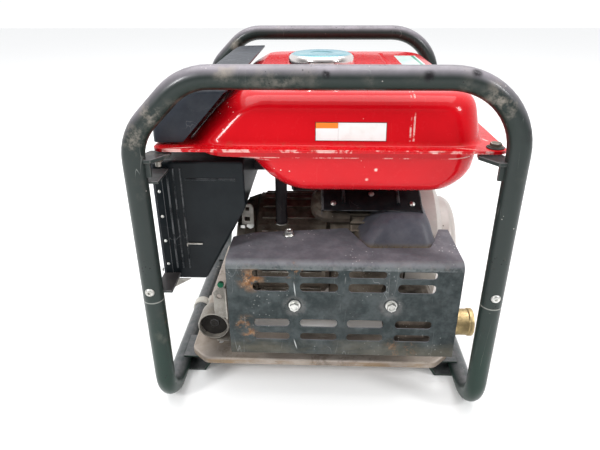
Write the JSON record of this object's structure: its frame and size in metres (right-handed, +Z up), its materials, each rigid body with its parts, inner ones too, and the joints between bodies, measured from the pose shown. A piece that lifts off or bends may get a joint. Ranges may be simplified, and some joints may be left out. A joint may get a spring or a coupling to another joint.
{
  "type": "portable generator",
  "caption": "Portable petrol generator: open tube frame, tank on top, inclined engine with covered muffler, alternator and side control panel.",
  "frame": {"origin": "on the floor at the middle of the frame's footprint", "axes": "+X to the recoil starter's side, -X to the control panel, -Y to the muffler cover's side, +Z up"},
  "size_m": [0.4404, 0.5154, 0.4596],
  "materials": {
    "front_hoop": "semi-gloss dark green-grey enamel, chipped and dirty",
    "rear_hoop": "semi-gloss dark green-grey enamel, chipped and dirty",
    "left_skid": "semi-gloss dark green-grey enamel, chipped and dirty",
    "right_skid": "semi-gloss dark green-grey enamel, chipped and dirty",
    "base_pan": "pinkish grey enamel, stained and rusty at the edges",
    "rubber_mount_1": "black rubber",
    "rubber_mount_2": "black rubber",
    "rubber_mount_3": "black rubber",
    "rubber_mount_4": "black rubber",
    "tank_upper_shell": "glossy red enamel with small chips",
    "tank_lower_shell": "glossy red enamel with small chips",
    "filler_neck": "glossy red enamel with small chips",
    "fuel_cap": "polished chrome with fine scratches",
    "fuel_cap_gasket": "black rubber",
    "tank_side_cover": "satin dark blue-grey plastic, scuffed",
    "fuel_cock_body": "brass-tinted plated steel",
    "fuel_cock_lever": "satin black paint with dust",
    "fuel_hose": "black rubber",
    "crankcase": "rough die-cast aluminium with brown grime",
    "crankcase_cover": "rough die-cast aluminium with brown grime",
    "oil_filler_cap": "satin dark blue-grey plastic, scuffed",
    "cylinder": "rough die-cast aluminium with brown grime",
    "cylinder_head": "rough die-cast aluminium with brown grime",
    "spark_plug": "zinc-plated steel",
    "spark_plug_cap": "black rubber",
    "spark_plug_lead": "black rubber",
    "head_shroud": "heat-dulled charcoal paint, dusty, rust at chips",
    "piston": "rough die-cast aluminium with brown grime",
    "connecting_rod": "zinc-plated steel",
    "crankshaft_left": "zinc-plated steel",
    "crankshaft_right": "zinc-plated steel",
    "rotor": "laminated steel and varnished copper windings",
    "flywheel": "heat-darkened iron with surface rust",
    "cooling_fan": "satin dark blue-grey plastic, scuffed",
    "stator": "rough die-cast aluminium with brown grime",
    "alternator_end_cover": "rough die-cast aluminium with brown grime",
    "alternator_cable": "black rubber",
    "fan_cover": "light warm grey enamel with a brighter worn rim",
    "recoil_housing": "light warm grey enamel with a brighter worn rim",
    "recoil_reel": "satin dark blue-grey plastic, scuffed",
    "recoil_rope": "braided cord",
    "recoil_grip": "black rubber",
    "muffler": "heat-darkened iron with surface rust",
    "tail_pipe": "brass-tinted plated steel",
    "muffler_cover": "heat-dulled charcoal paint, dusty, rust at chips",
    "cover_bolt_left": "zinc-plated steel",
    "cover_bolt_right": "zinc-plated steel",
    "cover_bolt_top": "zinc-plated steel",
    "intake_pipe": "rough die-cast aluminium with brown grime",
    "carburettor": "rough die-cast aluminium with brown grime",
    "choke_lever": "satin black paint with dust",
    "air_cleaner_case": "satin dark blue-grey plastic, scuffed",
    "air_filter_element": "oiled grey foam",
    "air_cleaner_cover": "satin dark blue-grey plastic, scuffed",
    "control_box": "satin black paint with dust",
    "control_panel": "heat-dulled charcoal paint, dusty, rust at chips",
    "power_outlet": "satin dark blue-grey plastic, scuffed",
    "voltmeter": "white plastic",
    "engine_switch": "black rubber",
    "breaker_button": "black rubber"
  },
  "bodies": {
    "frame": {"front_hoop": "front_hoop", "rear_hoop": "rear_hoop", "left_skid": "left_skid", "right_skid": "right_skid", "base_pan": "base_pan", "rubber_mount_1": "rubber_mount_1", "rubber_mount_2": "rubber_mount_2", "rubber_mount_3": "rubber_mount_3", "rubber_mount_4": "rubber_mount_4", "tank_upper_shell": "tank_upper_shell", "tank_lower_shell": "tank_lower_shell", "filler_neck": "filler_neck", "tank_side_cover": "tank_side_cover", "fuel_cock_body": "fuel_cock_body", "fuel_hose": "fuel_hose", "crankcase": "crankcase", "crankcase_cover": "crankcase_cover", "cylinder": "cylinder", "cylinder_head": "cylinder_head", "spark_plug": "spark_plug", "spark_plug_cap": "spark_plug_cap", "spark_plug_lead": "spark_plug_lead", "head_shroud": "head_shroud", "stator": "stator", "alternator_end_cover": "alternator_end_cover", "alternator_cable": "alternator_cable", "fan_cover": "fan_cover", "recoil_housing": "recoil_housing", "muffler": "muffler", "tail_pipe": "tail_pipe", "muffler_cover": "muffler_cover", "cover_bolt_left": "cover_bolt_left", "cover_bolt_right": "cover_bolt_right", "cover_bolt_top": "cover_bolt_top", "intake_pipe": "intake_pipe", "carburettor": "carburettor", "air_cleaner_case": "air_cleaner_case", "air_filter_element": "air_filter_element", "control_box": "control_box", "control_panel": "control_panel", "power_outlet": "power_outlet", "voltmeter": "voltmeter"},
    "crankshaft": {"crankshaft_left": "crankshaft_left", "crankshaft_right": "crankshaft_right", "rotor": "rotor", "flywheel": "flywheel", "cooling_fan": "cooling_fan"},
    "piston": {"piston": "piston"},
    "connecting_rod": {"connecting_rod": "connecting_rod"},
    "recoil_grip": {"recoil_grip": "recoil_grip", "recoil_rope": "recoil_rope"},
    "recoil_reel": {"recoil_reel": "recoil_reel"},
    "cap_gasket": {"fuel_cap_gasket": "fuel_cap_gasket"},
    "fuel_cap": {"fuel_cap": "fuel_cap"},
    "fuel_cock_lever": {"fuel_cock_lever": "fuel_cock_lever"},
    "choke_lever": {"choke_lever": "choke_lever"},
    "engine_switch": {"engine_switch": "engine_switch"},
    "breaker_button": {"breaker_button": "breaker_button"},
    "air_cleaner_cover": {"air_cleaner_cover": "air_cleaner_cover"},
    "oil_filler_cap": {"oil_filler_cap": "oil_filler_cap"}
  },
  "joints": [
    {"name": "crank_spin", "type": "hinge", "parent": "frame", "child": "crankshaft", "pos_m": [0, -0.03, 0.15], "axis": [1, 0, 0], "continuous": true},
    {"name": "piston_stroke", "type": "slide", "parent": "frame", "child": "piston", "axis": [0, -0.788, 0.6157], "range_m": [-0.04, 0]},
    {"name": "rod_swing", "type": "hinge", "parent": "piston", "child": "connecting_rod", "pos_m": [0.074, -0.09462, 0.20048], "axis": [1, 0, 0], "range_deg": [-18.5, 18.5]},
    {"name": "rope_pull", "type": "slide", "parent": "frame", "child": "recoil_grip", "axis": [0, 1, 0], "range_m": [0, 0.55], "stiffness_N_per_m": 12, "springref_m": -0.25, "deforming": ["recoil_rope"]},
    {"name": "reel_spin", "type": "hinge", "parent": "frame", "child": "recoil_reel", "pos_m": [0.184, -0.03, 0.15], "axis": [-1, 0, 0], "range_deg": [0, 1060]},
    {"name": "cap_lift", "type": "slide", "parent": "frame", "child": "cap_gasket", "axis": [0, 0, 1], "range_m": [0, 0.06]},
    {"name": "cap_turn", "type": "hinge", "parent": "cap_gasket", "child": "fuel_cap", "pos_m": [-0.003, -0.052, 0.448], "axis": [0, 0, 1], "range_deg": [0, 90]},
    {"name": "fuel_cock_turn", "type": "hinge", "parent": "frame", "child": "fuel_cock_lever", "pos_m": [0.11, 0.1183, 0.286], "axis": [0, 1, 0], "range_deg": [0, 90]},
    {"name": "choke_turn", "type": "hinge", "parent": "frame", "child": "choke_lever", "pos_m": [-0.0033, 0.062, 0.244], "axis": [1, 0, 0], "range_deg": [0, 75]},
    {"name": "switch_turn", "type": "hinge", "parent": "frame", "child": "engine_switch", "pos_m": [-0.2063, -0.02, 0.29], "axis": [-1, 0, 0], "range_deg": [0, 90]},
    {"name": "breaker_trip", "type": "slide", "parent": "frame", "child": "breaker_button", "axis": [-1, 0, 0], "range_m": [0, 0.003]},
    {"name": "air_cover_lift_off", "type": "slide", "parent": "frame", "child": "air_cleaner_cover", "axis": [0, 1, 0], "range_m": [0, 0.08]},
    {"name": "oil_cap_lift_off", "type": "slide", "parent": "frame", "child": "oil_filler_cap", "axis": [0, 0.9397, 0.342], "range_m": [0, 0.05]}
  ],
  "couplings": [
    {"joint": "reel_spin", "follows": "rope_pull", "rad_per_m": 33.333}
  ]
}
